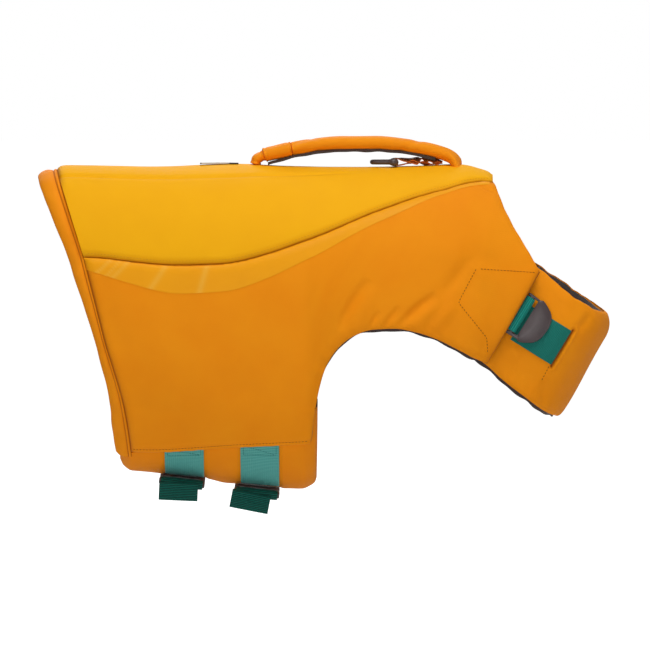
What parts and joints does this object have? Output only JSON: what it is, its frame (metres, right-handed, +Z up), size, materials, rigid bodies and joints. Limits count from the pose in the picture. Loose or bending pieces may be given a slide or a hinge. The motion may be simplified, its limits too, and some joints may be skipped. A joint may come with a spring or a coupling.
{
  "type": "dog life jacket",
  "caption": "Dog life jacket filled out as when worn: foam back and side panels, buckled belly panel, neck band with adjusters, lifting handle and leash ring.",
  "frame": {"origin": "on the inner face of the back, on the middle line behind the handle, where the jacket lies on its wearer", "axes": "+X from the rear opening to the head, +Z up from the belly to the back, +Y to the wearer's left"},
  "size_m": [0.5749, 0.2118, 0.3749],
  "materials": {
    "yellow_cloth": "woven polyester, matt",
    "orange_cloth": "woven polyester, matt",
    "shiny_cloth": "coated cloth with a soft shine",
    "edge_cloth": "woven polyester, matt",
    "belly_cloth": "woven polyester, matt",
    "dark_lining": "soft knitted mesh",
    "light_webbing": "flat woven webbing",
    "dark_webbing": "ribbed woven webbing",
    "green_webbing": "ribbed woven webbing",
    "grey_plastic": "moulded, satin",
    "brown_webbing": "flat woven webbing",
    "pale_tape": "woven tape"
  },
  "bodies": {
    "jacket": {"back_panel": "yellow_cloth", "belly_buckle_front_plug": "grey_plastic", "belly_buckle_front_socket": "grey_plastic", "belly_buckle_rear_plug": "grey_plastic", "belly_buckle_rear_socket": "grey_plastic", "belly_loop_front_far": "dark_webbing", "belly_loop_front_near": "dark_webbing", "belly_loop_rear_far": "dark_webbing", "belly_loop_rear_near": "dark_webbing", "belly_panel": "belly_cloth", "belly_strap_front_far": "light_webbing", "belly_strap_front_near": "light_webbing", "belly_strap_rear_far": "light_webbing", "belly_strap_rear_near": "light_webbing", "belly_tail_front": "dark_webbing", "belly_tail_rear": "dark_webbing", "handle_grip": "orange_cloth", "handle_lining": "dark_lining", "handle_root": "orange_cloth", "handle_sleeve": "orange_cloth", "leash_loop": "brown_webbing", "lining_back": "dark_lining", "lining_belly": "dark_lining", "lining_neck": "dark_lining", "lining_side_far": "dark_lining", "lining_side_near": "dark_lining", "neck_band": "orange_cloth", "neck_buckle_far": "grey_plastic", "neck_buckle_near": "grey_plastic", "neck_loop_far": "green_webbing", "neck_loop_near": "green_webbing", "neck_strap_far": "green_webbing", "neck_strap_near": "green_webbing", "rear_edge_band": "edge_cloth", "reflective_band_far": "shiny_cloth", "reflective_band_near": "shiny_cloth", "side_panel_far": "orange_cloth", "side_panel_near": "orange_cloth", "top_tape": "pale_tape"},
    "ring": {"leash_ring": "grey_plastic"}
  },
  "joints": [
    {"name": "ring_swing", "type": "hinge", "parent": "jacket", "child": "ring", "pos_m": [0.0955, 0, 0.019], "axis": [0, 1, 0], "range_deg": [0, 20]}
  ]
}
